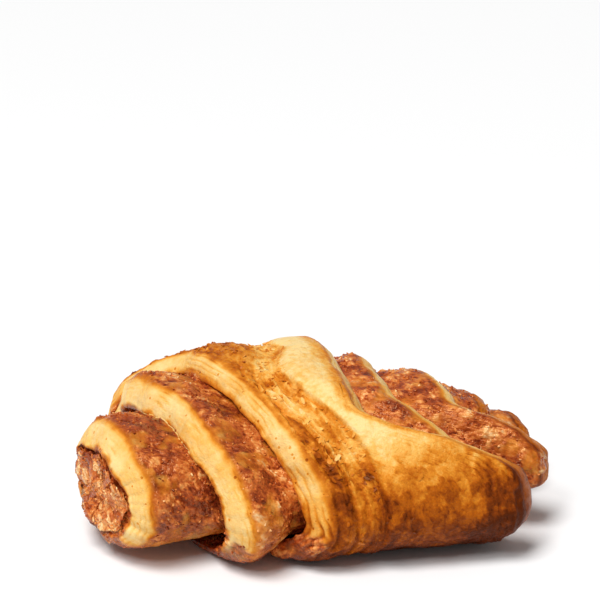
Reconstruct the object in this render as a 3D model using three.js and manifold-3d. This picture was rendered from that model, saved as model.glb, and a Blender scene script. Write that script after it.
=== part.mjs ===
// Cinnamon pastry: a sheet of laminated dough rolled up with cinnamon sugar, sliced, pressed
// across its middle and baked, so that the turns of the roll fan out at both cut ends.
//
// Millimetres, +Z up. +X runs along the pastry, the front is at -Y, and z = 0 is the flat
// underside. It is baked as one piece, so it is one solid: an outer wrap with a cut rim at each
// end, and the inner turns that step out of those rims like the tubes of a telescope.
import * as THREE from "three";
import { mergeVertices } from "three/addons/utils/BufferGeometryUtils.js";
import Module from "manifold-3d";

const wasm = await Module();
wasm.setup();

const degrees = Math.PI / 180;

// The two fans turn a little towards the front, away from the straight line of the roll.
const fanYaw = 8 * degrees;

// Dough at a cut rim.
const baseShare = 0.45; // the dough under the pastry is squeezed to this share of its thickness
const edgeSlant = 5; // the inner lip of a cut edge stands this far beyond the outer lip
const lipRound = 1.6; // how far the outer lip is rounded in
const edgeBelly = { out: 0.65, inset: 0.55 }; // shares of slant and thickness at the edge's belly
const gapDepth = 5; // how far the gap between two turns reaches in behind the inner lip
const gapTaper = 1.12; // the dough at the bottom of the gap, as a share of its thickness at the lip
const fillingDepth = 2.5; // how far the filling of the innermost turn lies behind the inner lip

// The pressed groove across the wrap. Its right edge starts at edge, and wanders to the right by
// lean on its way down the front, between the distances lean.from and lean.to before the middle,
// and by backLean on its way down the back. The groove's middle lies to the left of that edge.
const groove = {
  depth: 2.6,
  halfWidth: 6,
  middle: -4,
  edge: -1.3,
  lean: { by: 12, from: 12, to: 48 },
  backLean: { by: 6, from: 5, to: -15 },
};

const pointsRound = 44;
const squareness = 0.86; // exponent of the sections' cosine and sine: 1 is an ellipse

// A section has its crest and lift, the heights of its top and underside, its half width, the
// height of its widest line, its shift to the front, and how far its crest leans to the back.
// A turn runs from its root, deep in the pastry, to its rim. reach is the rim's distance from
// the groove at the top, front, back and underside, and thickness is its dough there. opening
// holds, for the front and the back, the two angles between which the rim comes back from its
// side reach to its top reach.
const evenOpening = { front: [10, 60], back: [10, 60] };

const leftTurns = [
  {
    reach: { top: 49.5, front: 48.8, back: 48.5, under: 51 },
    opening: evenOpening,
    thickness: { top: 7.5, front: 8, back: 2.5, under: 7 },
    root: 8,
    neckDepth: 22,
    rim: { crest: 35, lift: 3.8, halfWidth: 20.8, widest: 17.5, shift: 0, lean: 3 },
    neck: { crest: 32.5, lift: 5, halfWidth: 22, widest: 15, shift: 1, lean: 3 },
    filled: true,
  },
  {
    reach: { top: 31, front: 29, back: 35, under: 28 },
    opening: { front: [10, 60], back: [0, 30] },
    thickness: { top: 8, front: 9, back: 8, under: 8 },
    root: 0,
    neckDepth: 15,
    rim: { crest: 40.5, lift: -2, halfWidth: 37, widest: 16, shift: 1, lean: 7 },
    neck: { crest: 37.5, lift: 2, halfWidth: 33, widest: 16, shift: 1, lean: 7 },
  },
];
const rightTurns = [
  {
    reach: { top: 66, front: 65, back: 63, under: 63 },
    opening: evenOpening,
    thickness: { top: 4, front: 4, back: 4, under: 3 },
    root: 20,
    neckDepth: 12,
    rim: { crest: 21, lift: 9, halfWidth: 9, widest: 15, shift: -2, lean: 0 },
    neck: { crest: 22, lift: 8, halfWidth: 9, widest: 14, shift: -3, lean: 0 },
    filled: true,
  },
  {
    reach: { top: 54.5, front: 57, back: 53, under: 54 },
    opening: evenOpening,
    thickness: { top: 4.5, front: 5, back: 5, under: 4 },
    root: 15,
    neckDepth: 14,
    rim: { crest: 28, lift: 7.5, halfWidth: 16, widest: 15, shift: -4, lean: 0 },
    neck: { crest: 33, lift: 6, halfWidth: 17, widest: 14, shift: -4, lean: 0 },
  },
  {
    reach: { top: 41.5, front: 64, back: 50, under: 60 },
    opening: { front: [14, 84], back: [0, 40] },
    thickness: { top: 5, front: 6, back: 6, under: 5 },
    root: 8,
    neckDepth: 16,
    rim: { crest: 35.5, lift: 8.5, halfWidth: 28, widest: 15, shift: 2, lean: 2 },
    neck: { crest: 33, lift: 6, halfWidth: 25, widest: 15, shift: 1, lean: 2 },
  },
  {
    reach: { top: 25, front: 41, back: 40, under: 43 },
    opening: { front: [10, 80], back: [0, 34] },
    thickness: { top: 5, front: 6, back: 6, under: 6 },
    root: 2,
    neckDepth: 14,
    rim: { crest: 39, lift: 3, halfWidth: 34, widest: 15, shift: 1, lean: 3 },
    neck: { crest: 37, lift: 3, halfWidth: 32, widest: 15, shift: 1, lean: 3 },
  },
];
const wrap = {
  left: {
    reach: { top: 13, front: 10, back: 31, under: 16 },
    opening: { front: [10, 60], back: [10, 76] },
    thickness: { top: 5.5, front: 9.5, back: 7, under: 9 },
    rim: { crest: 43.5, lift: -1.6, halfWidth: 43.5, widest: 15, shift: 1.5, lean: 9 },
  },
  right: {
    reach: { top: 12.6, front: 53.2, back: 40, under: 47 },
    opening: { front: [12, 62], back: [0, 34] },
    thickness: { top: 7, front: 7, back: 7, under: 7 },
    rim: { crest: 45, lift: -2.4, halfWidth: 43, widest: 15, shift: 5, lean: 5 },
  },
  bulge: 1.5,
  rows: [0.04, 0.12, 0.22, 0.32, 0.42, 0.52, 0.64, 0.76, 0.88, 0.96],
};
const bodyDepths = [2, 5]; // rows close behind an inner turn's rim
const neckShares = [0.6, 1]; // further rows, as shares of its neck's depth
const lipTuck = 0.5; // how far the row next to a lip is drawn in
const shelteredBelow = -0.4; // sine of the angle round the wrap: the press acts above it
const weldDistance = 1e-4; // corners closer than this are one corner
const underEase = 60; // degrees below the side over which a rim eases to its underside reach
const blockSize = [200, 200, 20]; // what is cut away under the pastry

const mix = (a, b, share) => a + (b - a) * share;
const smooth = (low, high, x) => THREE.MathUtils.smoothstep(x, low, high);
const signedPower = (x, power) => Math.sign(x) * Math.abs(x) ** power;

function mixSections(a, b, share) {
  return Object.fromEntries(
    Object.keys(a).map((key) => [key, mix(a[key], b[key], share)]),
  );
}

// A top, front, back and underside value, eased into each other round a rim. Angle 0 is the
// front, and 90 degrees the top.
function roundRim(values, opening, angle) {
  const toBack = smooth(-1, 1, -Math.cos(angle));
  const sideways = mix(values.front, values.back, toBack);
  const climb = Math.asin(Math.sin(angle)) / degrees;
  const [low, high] = [0, 1].map((i) =>
    mix(opening.front[i], opening.back[i], toBack),
  );
  return climb > 0
    ? mix(sideways, values.top, smooth(low, high, climb))
    : mix(sideways, values.under, smooth(0, underEase, -climb));
}

const reachAt = (turn, angle) => roundRim(turn.reach, turn.opening, angle);
const thicknessAt = (turn, angle) => roundRim(turn.thickness, evenOpening, angle);

// A point of a section, inset into the dough, at a distance out along a fan.
function fanPoint(side, section, angle, distance, inset) {
  const across = signedPower(Math.cos(angle), squareness);
  const up = signedPower(Math.sin(angle), squareness);
  const front =
    section.shift +
    (section.halfWidth - inset) * across -
    section.lean * Math.max(0, up);
  const rise =
    up > 0
      ? section.crest - section.widest - inset
      : section.widest - section.lift - inset * baseShare;
  const along = distance * Math.cos(fanYaw) - front * Math.sin(fanYaw);
  return new THREE.Vector3(
    side * along,
    -distance * Math.sin(fanYaw) - front * Math.cos(fanYaw),
    section.widest + rise * up,
  );
}

function ring(pointAt) {
  return Array.from({ length: pointsRound }, (_, i) =>
    pointAt((i / pointsRound) * 2 * Math.PI),
  );
}

// The rings of a cut rim, from the outer lip across the edge and down into the gap behind it.
function rimRings(side, turn, depth) {
  const steps = [
    () => [0, lipRound],
    (dough) => [edgeSlant * edgeBelly.out, dough * edgeBelly.inset],
    (dough) => [edgeSlant, dough],
    (dough) => [edgeSlant - depth, dough * gapTaper],
  ];
  return steps.map((step) =>
    ring((angle) => {
      const [out, inset] = step(thicknessAt(turn, angle));
      return fanPoint(side, turn.rim, angle, reachAt(turn, angle) + out, inset);
    }),
  );
}

function centreOf(points) {
  const sum = points.reduce((a, p) => a.add(p), new THREE.Vector3());
  return sum.divideScalar(points.length);
}

// A closed solid through rings of points, with a fan of triangles over each end.
function loft(rings) {
  const vertices = [...rings.flat(), centreOf(rings[0]), centreOf(rings.at(-1))];
  const first = vertices.length - 2;
  const last = vertices.length - 1;
  const faces = [];
  for (let i = 0; i < pointsRound; i++) {
    const next = (i + 1) % pointsRound;
    faces.push(first, next, i);
    for (let r = 0; r + 1 < rings.length; r++) {
      const low = r * pointsRound;
      const high = low + pointsRound;
      faces.push(low + i, low + next, high + i);
      faces.push(high + i, low + next, high + next);
    }
    const top = (rings.length - 1) * pointsRound;
    faces.push(last, top + i, top + next);
  }
  const geometry = new THREE.BufferGeometry().setFromPoints(vertices);
  geometry.setIndex(faces);
  return solidOf(geometry);
}

function solidOf(geometry) {
  const bare = geometry.clone();
  bare.deleteAttribute("normal");
  bare.deleteAttribute("uv");
  const merged = mergeVertices(bare, weldDistance);
  const solid = new wasm.Manifold(
    new wasm.Mesh({
      numProp: 3,
      vertProperties: merged.attributes.position.array,
      triVerts: new Uint32Array(merged.index.array),
    }),
  );
  if (solid.volume() > 0) return solid;
  const turned = new Uint32Array(merged.index.array).reverse();
  return new wasm.Manifold(
    new wasm.Mesh({
      numProp: 3,
      vertProperties: merged.attributes.position.array,
      triVerts: turned,
    }),
  );
}

// An inner turn of the roll: widest at its rim, narrower at its neck under the next turn.
function innerTurn(side, turn) {
  const depths = [
    ...bodyDepths,
    ...neckShares.map((share) => share * turn.neckDepth),
  ];
  const body = depths.map((depth, i) => {
    const blend = smooth(0, turn.neckDepth, depth);
    const section = mixSections(turn.rim, turn.neck, blend);
    const inset = i === 0 ? lipTuck : 0;
    return ring((angle) =>
      fanPoint(side, section, angle, reachAt(turn, angle) - depth, inset),
    );
  });
  const rootRing = ring((angle) =>
    fanPoint(side, turn.neck, angle, turn.root, 0),
  );
  const depth = turn.filled ? fillingDepth : edgeSlant + gapDepth;
  return loft([
    rootRing,
    ...body.reverse(),
    ...rimRings(side, turn, depth),
  ]);
}

// How deep the press went in at a point of the wrap.
function pressedAt(point) {
  const { depth, halfWidth, middle, edge, lean, backLean } = groove;
  const wander = ({ by, from, to }) => by * smooth(from, to, -point.y);
  const fromMiddle = point.x - edge - wander(lean) - wander(backLean) - middle;
  return depth * Math.exp(-((fromMiddle / halfWidth) ** 2));
}

// The outer wrap from its left rim to its right rim, over the groove that the press left.
function outerWrap() {
  const rimPoint = (side, half, angle) =>
    fanPoint(side, half.rim, angle, reachAt(half, angle), 0);
  const over = wrap.rows.map((share, i) =>
    ring((angle) => {
      const point = rimPoint(-1, wrap.left, angle).lerp(
        rimPoint(1, wrap.right, angle),
        share,
      );
      const above = smooth(shelteredBelow, 1, Math.sin(angle));
      const nextToLip = i === 0 || i === wrap.rows.length - 1;
      const swell =
        above * (wrap.bulge * Math.sin(Math.PI * share) - pressedAt(point)) -
        (nextToLip ? lipTuck : 0);
      const outwards = new THREE.Vector3(0, -Math.cos(angle), Math.sin(angle));
      return point.addScaledVector(outwards, swell);
    }),
  );
  const depth = edgeSlant + gapDepth;
  return loft([
    ...rimRings(-1, wrap.left, depth).reverse(),
    ...over,
    ...rimRings(1, wrap.right, depth),
  ]);
}

// Everything below z = 0 is cut away, which leaves the flat underside.
function flattened(solid) {
  const block = new THREE.BoxGeometry(...blockSize);
  block.translate(0, 0, -blockSize[2] / 2);
  return solid.subtract(solidOf(block.toNonIndexed()));
}

function pastryGeometry() {
  const turns = [
    ...leftTurns.map((turn) => innerTurn(-1, turn)),
    ...rightTurns.map((turn) => innerTurn(1, turn)),
  ];
  const whole = flattened(turns.reduce((sum, turn) => sum.add(turn), outerWrap()));
  const mesh = whole.getMesh();
  const geometry = new THREE.BufferGeometry();
  geometry.setAttribute(
    "position",
    new THREE.BufferAttribute(new Float32Array(mesh.vertProperties), 3),
  );
  geometry.setIndex(new THREE.BufferAttribute(mesh.triVerts, 1));
  return geometry;
}

const bakedDough = new THREE.MeshStandardMaterial({
  color: 0xd08a3e,
  roughness: 0.6,
  metalness: 0,
});

const pastryMesh = new THREE.Mesh(pastryGeometry(), bakedDough);
pastryMesh.name = "cinnamon_pastry";

// The origin is under the middle of the pastry, on the surface that it lies on.
const box = new THREE.Box3().setFromObject(pastryMesh);
const middle = box.getCenter(new THREE.Vector3());
pastryMesh.position.set(-middle.x, -middle.y, -box.min.z);

const pastry = new THREE.Group();
pastry.add(pastryMesh);

export default pastry;
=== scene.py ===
# Cinnamon pastry: laminated dough rolled up with cinnamon sugar, sliced, pressed across its middle
# and baked, so that the turns of the roll fan out at both cut ends.
import math

import bpy
import numpy as np
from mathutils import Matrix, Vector, noise


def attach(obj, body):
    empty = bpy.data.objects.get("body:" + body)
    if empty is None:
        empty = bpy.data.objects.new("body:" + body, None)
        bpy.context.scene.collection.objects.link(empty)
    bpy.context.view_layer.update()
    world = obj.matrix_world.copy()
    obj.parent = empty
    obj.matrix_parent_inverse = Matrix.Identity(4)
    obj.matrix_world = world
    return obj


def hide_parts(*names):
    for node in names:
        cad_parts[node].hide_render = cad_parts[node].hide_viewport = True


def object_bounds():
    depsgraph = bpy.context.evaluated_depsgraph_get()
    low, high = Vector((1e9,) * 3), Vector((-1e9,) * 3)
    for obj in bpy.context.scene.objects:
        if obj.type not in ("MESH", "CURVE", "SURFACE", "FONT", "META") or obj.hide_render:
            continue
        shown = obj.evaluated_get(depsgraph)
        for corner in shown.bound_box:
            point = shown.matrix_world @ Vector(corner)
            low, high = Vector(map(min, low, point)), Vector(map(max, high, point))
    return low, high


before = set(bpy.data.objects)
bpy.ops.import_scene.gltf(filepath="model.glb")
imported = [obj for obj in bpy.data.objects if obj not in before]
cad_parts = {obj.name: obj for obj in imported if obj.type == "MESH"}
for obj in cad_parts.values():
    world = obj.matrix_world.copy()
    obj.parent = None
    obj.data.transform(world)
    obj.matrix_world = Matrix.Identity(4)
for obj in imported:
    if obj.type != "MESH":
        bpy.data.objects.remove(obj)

mm = 0.001
cadLow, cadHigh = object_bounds()

# Lengths are in millimetres until a mesh is made.
dough = {
    "fanYaw": math.radians(8),  # both fans turn a little to the front
    "baseShare": 0.45,  # the dough underneath is squeezed to this share of its thickness
    "edgeSlant": 5.0,  # the inner lip of a cut edge stands this far beyond the outer lip
    "gapDepth": 6.0,  # how far the gap between two turns reaches in behind the inner lip
    "fillingDepth": 2.2,  # how far behind the inner lip the filling starts
    "gapTaper": 1.12,  # the wall of a gap ends this many times as far in as its lip
    "squareness": 0.86,  # below 1, a rim is squarer than an ellipse
    "lipBack": 1.2,  # the outside ends this far behind the outer lip
    "lipRows": 6,  # rows over which a lip is rounded
    "waves": (0.9, 0.4, 0.16),  # how far a rim wanders in and out, from coarse to fine
    "thickWaves": (0.13, 0.05),  # how much its thickness changes
    "sheets": 5,  # layers that show in a cut edge
    "bulge": 1.5,  # the outer turn swells between its rims
}
# mesh spacing; roundness is a rim's length as a share of the box round it
cells = {"side": 0.52, "edge": 0.4, "wall": 0.8, "wrap": 0.56, "filling": 0.6, "roundness": 0.86}

# The handle that presses the roll leaves a groove. A smooth strip starts at its right edge.
groove = {
    "depth": 2.6,
    "halfWidth": 6.0,
    "middle": -4.0,  # the groove's middle, from its right edge
    "edge": -1.3,  # how far right of the junction its right edge crosses the top
    "lean": 12.0,  # how far the edge wanders to the right on its way down the front
    "leanFrom": 12.0,
    "leanTo": 48.0,
    "backLean": 6.0,
    "step": 1.1,  # height of the smooth strip above the groove
    "seamShade": 0.8,  # width of the painted shadow line in the crease beside the strip
    "fold": 8.0,  # a fold runs this far to the left of the edge
    "foldDepth": 0.6,
    "foldWidth": 0.7,
    "mound": 0.7,  # how far the dough stands up beyond the fold
    "fadesBelow": -0.4,  # the sine of the angle round the roll below which nothing is pressed in
}


def section(crest, lift, halfWidth, widest, shift, lean):
    return np.array([crest, lift, halfWidth, widest, shift, lean], float)


evenOpening = {"front": (10, 60), "back": (10, 60)}

# A section's numbers are the heights of its crest and underside, its half width, the height of
# its widest line, its shift to the front and how far its crest leans to the back. reach is how
# far a rim stands from the groove at its top, front, back and underside, and opening gives the
# angles between which it comes back from its side reach to its top reach.
leftTurns = [
    {
        "name": "leftCore", "side": -1, "reach": (49.5, 48.8, 48.5, 51), "opening": evenOpening,
        "root": 8, "neckDepth": 22, "thickness": (7.5, 8, 2.5, 7), "filled": True,
        "rim": section(35, 3.8, 20.8, 17.5, 0, 3), "neck": section(32.5, 5, 22, 15, 1, 3),
    },
    {
        "name": "leftMiddle", "side": -1, "reach": (31, 29, 35, 28),
        "opening": {"front": (10, 60), "back": (0, 30)},
        "root": 0, "neckDepth": 15, "thickness": (8, 9, 8, 8), "filled": False,
        "rim": section(40.5, -2, 37, 16, 1, 7), "neck": section(37.5, 2, 33, 16, 1, 7),
    },
]
rightTurns = [
    {
        "name": "rightTip", "side": 1, "reach": (66, 65, 63, 63), "opening": evenOpening,
        "root": 20, "neckDepth": 12, "thickness": (4, 4, 4, 3), "filled": True,
        "rim": section(21, 9, 9, 15, -2, 0), "neck": section(22, 8, 9, 14, -3, 0),
    },
    {
        "name": "rightCore", "side": 1, "reach": (54.5, 57, 53, 54), "opening": evenOpening,
        "root": 15, "neckDepth": 14, "thickness": (4.5, 5, 5, 4), "filled": False,
        "rim": section(28, 7.5, 16, 15, -4, 0), "neck": section(33, 6, 17, 14, -4, 0),
    },
    {
        "name": "rightMiddle", "side": 1, "reach": (41.5, 64, 50, 60),
        "opening": {"front": (14, 84), "back": (0, 40)},
        "root": 8, "neckDepth": 16, "thickness": (5, 6, 6, 5), "filled": False,
        "rim": section(35.5, 8.5, 28, 15, 2, 2), "neck": section(33, 6, 25, 15, 1, 2),
    },
    {
        "name": "rightOuter", "side": 1, "reach": (25, 41, 40, 43),
        "opening": {"front": (10, 80), "back": (0, 34)},
        "root": 2, "neckDepth": 14, "thickness": (5, 6, 6, 6), "filled": False,
        "rim": section(39, 3, 34, 15, 1, 3), "neck": section(37, 3, 32, 15, 1, 3),
    },
]
wrapLeft = {
    "name": "wrapLeft", "side": -1, "reach": (13, 10, 31, 16),
    "opening": {"front": (10, 60), "back": (10, 76)},
    "thickness": (5.5, 9.5, 7, 9), "rim": section(43.5, -1.6, 43.5, 15, 1.5, 9),
}
wrapRight = {
    "name": "wrapRight", "side": 1, "reach": (12.6, 53.2, 40, 47),
    "opening": {"front": (12, 62), "back": (0, 34)},
    "thickness": (7, 7, 7, 7), "rim": section(45, -2.4, 43, 15, 5, 5),
}


def mix(a, b, share):
    return a + (b - a) * share


def smooth(low, high, x):
    t = np.clip((x - low) / (high - low), 0, 1)
    return t * t * (3 - 2 * t)


def signedPower(x, power):
    return np.sign(x) * np.abs(x) ** power


def ridge(x, width):
    # 1 where x is nought, falling away to both sides
    return np.exp(-((x / width) ** 2))


def fineLines(x, width):
    # a ridge in the middle of each whole step of x
    return ridge(x - np.floor(x) - 0.5, width)


def noiseAt(points, size, seed):
    # smooth noise from -1 to 1, in patches of the given size
    q = points / size + seed * 7.31
    cell = np.floor(q).astype(np.int64)
    t = q - cell
    t = t * t * t * (t * (t * 6 - 15) + 10)
    total = 0
    for corner in range(8):
        step = np.array([corner & 1, corner >> 1 & 1, corner >> 2 & 1])
        at = cell + step
        n = at[..., 0] * 374761393 + at[..., 1] * 668265263 + at[..., 2] * 962287003
        n = (n + seed * 1274126177) & 0xFFFFFFFF
        n = ((n ^ (n >> 13)) * 1103515245) & 0xFFFFFFFF
        n = ((n ^ (n >> 15)) * 2246822519) & 0xFFFFFFFF
        value = ((n ^ (n >> 16)) & 0xFFFF) / 32767.5 - 1
        total = total + value * np.prod(np.where(step, t, 1 - t), axis=-1)
    return total


def layeredNoise(points, size, seed, octaves=3):
    # coarse noise with finer noise on it
    return sum(noiseAt(points, size / 2**k, seed + k) / 2**k for k in range(octaves))


def cellsAt(points, size, seed):
    # rounded cells: distance to the nearest middle, how far the border is, and a number per cell
    found = [noise.voronoi(p) for p in (points / size + seed * 3.7).tolist()]
    near = np.array([f[0][:2] for f in found])
    middle = np.array([tuple(f[1][0]) for f in found])
    own = np.sin(middle @ np.array([12.9898, 78.233, 37.719])) * 437.5453
    return near[:, 0], near[:, 1] - near[:, 0], own - np.floor(own)


def roundRim(values, opening, angle):
    # a top, front, back and underside value, eased into each other round a rim
    top, front, back, under = values
    toBack = smooth(-1, 1, -np.cos(angle))
    sideways = mix(front, back, toBack)
    climb = np.degrees(np.arcsin(np.sin(angle)))
    low, high = (mix(opening["front"][i], opening["back"][i], toBack) for i in (0, 1))
    return np.where(
        climb > 0,
        mix(sideways, top, smooth(low, high, climb)),
        mix(sideways, under, smooth(0, 60, -climb)),
    )


def reachAt(turn, angle):
    return roundRim(turn["reach"], turn["opening"], angle)


def fanPoint(side, rim, angle, distance, inset):
    # rim is (rows, 1, 6) or (6,); angle, distance and inset broadcast to (rows, around)
    crest, lift, halfWidth, widest, shift, lean = np.moveaxis(rim, -1, 0)
    across = signedPower(np.cos(angle), dough["squareness"])
    up = signedPower(np.sin(angle), dough["squareness"])
    front = shift + (halfWidth - inset) * across - lean * np.maximum(0, up)
    rise = np.where(up > 0, crest - widest - inset, widest - lift - inset * dough["baseShare"])
    cos, sin = math.cos(dough["fanYaw"]), math.sin(dough["fanYaw"])
    return np.stack(
        [
            side * (distance * cos - front * sin),
            -distance * sin - front * cos,
            widest + rise * up,
        ],
        axis=-1,
    )


def roundTrip(angle, size, seed, radius=30):
    # noise that meets itself after a full turn round a rim
    circle = np.stack([np.cos(angle), np.sin(angle), 0 * angle], axis=-1) * radius
    return noiseAt(circle, size, seed)


def resampled(corners, cell):
    # evenly spaced points along a line of corners, with each stretch's own cell
    rows = []
    for a, b, size in zip(corners[:-1], corners[1:], cell):
        steps = max(1, round(math.dist(a, b) / size))
        rows += [mix(np.array(a), np.array(b), i / steps) for i in range(steps)]
    return np.array(rows + [np.array(corners[-1])], float)


def softened(values, passes):
    for _ in range(passes):
        values[1:-1] = (values[:-2] + 2 * values[1:-1] + values[2:]) / 4
    return values


def edgeProfile(thickness, depthIn):
    # how far out, how far in and the share of the edge, from the outer lip to the inner wall
    slant = dough["edgeSlant"]
    deep = (slant - depthIn, thickness * dough["gapTaper"], 1)
    corners = [(-dough["lipBack"], 0, 0), (0, 0, 0), (slant, thickness, 1), deep]
    line = resampled(corners, (cells["side"], cells["edge"], cells["wall"]))
    face = (line[:, 2] > 0.02) & (line[:, 2] < 0.98)
    inner = np.cumsum(face) == face.sum()
    return softened(line, dough["lipRows"]), face.astype(float), inner & ~face


def rimRows(turn, angle, depthIn):
    # the rows of a cut rim, and their marks
    seed = sum(map(ord, turn["name"]))
    widest = max(turn["thickness"])
    line, face, inner = edgeProfile(widest, depthIn)
    out, inset, share = (line[:, i, None] for i in range(3))
    broad, middling, fine = dough["waves"]
    wave = broad * roundTrip(angle, 11, seed) + middling * roundTrip(angle, 4, seed + 1)
    wave = wave + fine * roundTrip(angle, 1.6, seed + 4)
    broad, fine = dough["thickWaves"]
    thick = 1 + broad * roundTrip(angle, 13, seed + 2) + fine * roundTrip(angle, 5, seed + 3)
    thick = thick * roundRim(turn["thickness"], evenOpening, angle) / widest
    reach = reachAt(turn, angle) + wave
    rows = fanPoint(turn["side"], turn["rim"], angle, reach + out, inset * thick)
    ones = np.ones_like(angle)[None]
    marks = {
        "cut": softened(face[:, None] * ones, 2),
        "layer": np.clip(share, 0, 1) * ones,
        "inner": inner[:, None] * ones,
    }
    return rows, marks, wave


def capRows(row, count):
    # rows that close a hole towards its middle
    middle = row.mean(axis=0)
    return np.stack([mix(row, middle, (k + 1) / (count + 1)) for k in range(count)])


def bodyRows(turn, angle, wave):
    # the rows of a turn's outside, from its root to just behind the outer lip
    neckDepth = turn["neckDepth"]
    steps = round((neckDepth - dough["lipBack"]) / cells["side"])
    depth = np.linspace(neckDepth, dough["lipBack"] + cells["side"], steps)[:, None]
    blended = mix(turn["rim"], turn["neck"], smooth(0, neckDepth, depth)[..., None])
    fade = 1 - depth / neckDepth
    rows = fanPoint(turn["side"], blended, angle, reachAt(turn, angle) - depth + wave * fade, 0)
    root = fanPoint(turn["side"], turn["neck"], angle, turn["root"] + 0 * angle, 0)
    return np.concatenate([root[None], rows])


def anglesOf(rim, cell):
    crest, lift, halfWidth = rim[:3]
    around = cells["roundness"] * (4 * halfWidth + 2 * (crest - lift))
    count = round(around / cell)
    return np.arange(count) / count * 2 * math.pi


def emptyMarks(rows):
    return {key: np.zeros(rows.shape[:2]) for key in ("cut", "layer", "inner")}


def stacked(parts):
    # (rows, marks) pairs laid one after another
    rows = np.concatenate([p[0] for p in parts])
    marks = {key: np.concatenate([p[1][key] for p in parts]) for key in parts[0][1]}
    return rows, marks


def withEnds(mark):
    # a mark of the rows in one line, with its mean at the two closing points
    return np.concatenate([mark.ravel(), mark[:1].mean(1), mark[-1:].mean(1)])


def shellMesh(rows, marks):
    # a closed shell: quads between rows, and a fan at each end
    count, around = rows.shape[:2]
    vertices = np.concatenate([rows.reshape(-1, 3), rows[:1].mean(1), rows[-1:].mean(1)])
    flat = {k: withEnds(m) for k, m in marks.items()}
    i = np.arange(around)
    j = (i + 1) % around
    low = (np.arange(count - 1) * around)[:, None]
    quads = np.stack([low + i, low + j, low + around + j, low + around + i], -1).reshape(-1, 4)
    start, end = count * around, count * around + 1
    top = (count - 1) * around
    fans = np.concatenate([
        np.stack([j, i, start + 0 * i], -1),
        np.stack([top + i, top + j, end + 0 * i], -1),
    ])
    triangles = np.concatenate([quads[:, [0, 1, 2]], quads[:, [0, 2, 3]], fans])
    a, b, c = (vertices[triangles[:, k]] for k in range(3))
    if np.einsum("ij,ij->i", a, np.cross(b, c)).sum() < 0:
        quads, fans, triangles = quads[:, ::-1], fans[:, ::-1], triangles[:, ::-1]
    return vertices, flat, quads, fans, triangles


def vertexNormals(vertices, triangles):
    a, b, c = (vertices[triangles[:, k]] for k in range(3))
    normal = np.cross(b - a, c - a)
    total = np.zeros_like(vertices)
    for k in range(3):
        for axis in range(3):
            total[:, axis] += np.bincount(triangles[:, k], normal[:, axis], len(vertices))
    return total / np.maximum(np.linalg.norm(total, axis=1, keepdims=True), 1e-9)


def linked(name, data):
    made = bpy.data.objects.new(name, data)
    bpy.context.scene.collection.objects.link(made)
    return made


def meshObject(name, vertices, faces, attributes):
    mesh = bpy.data.meshes.new(name)
    mesh.from_pydata((vertices * mm).tolist(), [], faces)
    for key, values in attributes.items():
        layer = mesh.attributes.new(key, "FLOAT", "POINT")
        layer.data.foreach_set("value", values.astype(np.float32))
    mesh.shade_smooth()
    return linked(name, mesh)


def grooveEdge(front):
    # where the smooth strip beside the groove starts, this far in front of the middle
    lean = groove["lean"] * smooth(groove["leanFrom"], groove["leanTo"], front)
    return groove["edge"] + lean + groove["backLean"] * smooth(5, -15, front)


sugar = {
    "clump": (6.0, 0.8),  # size and height of the lumps, from coarse to fine
    "lump": (3.0, 1.0),
    "grain": (1.3, 0.55),
    "melt": 9.0,  # size of the patches where the sugar ran smooth
    "runny": (1.0, 0.5),  # how much of it ran, on the left and on the right
    "filling": 1.9,  # the filling stands proud of its ring
    "thinnest": 0.3,  # cover where the crust is nearly bare
    "barePatch": 0.75,
    "onEdge": 0.85,  # cover on the cut edges that sugar smeared, and on the inner lips
    "burnt": 0.9,  # cover low on the left, where it burnt
    "least": 0.02,  # below this cover there are no lumps
    "sideTone": (-0.06, 0.04),  # lighter or darker on the left and on the right
}


def sugarSkin(p, seed, runny):
    # lumps and grains of melted sugar: their height, and how light each is, darker in the borders
    # between them as painted shade
    bent = p + 0.8 * np.stack([noiseAt(p, 3, seed + k) for k in range(3)], -1)
    lumps, grains = (cellsAt(bent, sugar[k][0], seed + n) for n, k in enumerate(("lump", "grain")))
    melted = runny * smooth(0.1, 0.55, noiseAt(p, sugar["melt"], seed + 4))
    height = sugar["clump"][1] * noiseAt(p, sugar["clump"][0], seed + 5)
    tone = 0.55 + 0.3 * noiseAt(p, 6, seed + 6) - 0.12 * melted
    for (near, border, own), key in ((lumps, "lump"), (grains, "grain")):
        height = height + (1 - 0.75 * melted) * sugar[key][1] * (0.1 + 1.3 * own) * (0.6 - near)
        # each lump's own lightness, and painted shade in the borders between lumps
        tone = tone + (1 - 0.5 * melted) * (0.42 * (own - 0.5) - 0.26 * smooth(0.14, 0.0, border))
    return height, tone


edge = {
    "crown": 0.7,  # a cut edge swells between its lips
    "unevenness": ((5.0, 0.28), (1.7, 0.14)),  # size and height of its humps
    "lineDepth": 0.16,
    "sheetDepth": 0.65,  # where the sheets have come apart
    "streaks": 8,  # faint lines of colour between the lips
}
edgeBake = {  # from pale at 0 to dark at 1
    "least": 0.03,
    "lips": 0.5,
    "lines": (0.2, 0.42),  # where the sheets hold together, and where they have come apart
    "apart": 0.2,
    "cloud": 0.13,
    "streaks": 0.07,
    "outerHalf": 0.05,
    "under": 0.5,  # near the surface that it lies on
    # more on some edges: everywhere, and lower down
    "wrapLeft": (0.04, 0),
    "wrapRight": (0.02, 0.68),
    "rightOuter": (0.08, 0),
    "rightMiddle": (0.08, 0.4),
    "rightCore": (0.45, 0),
    "rightTip": (0.45, 0),
}


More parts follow.
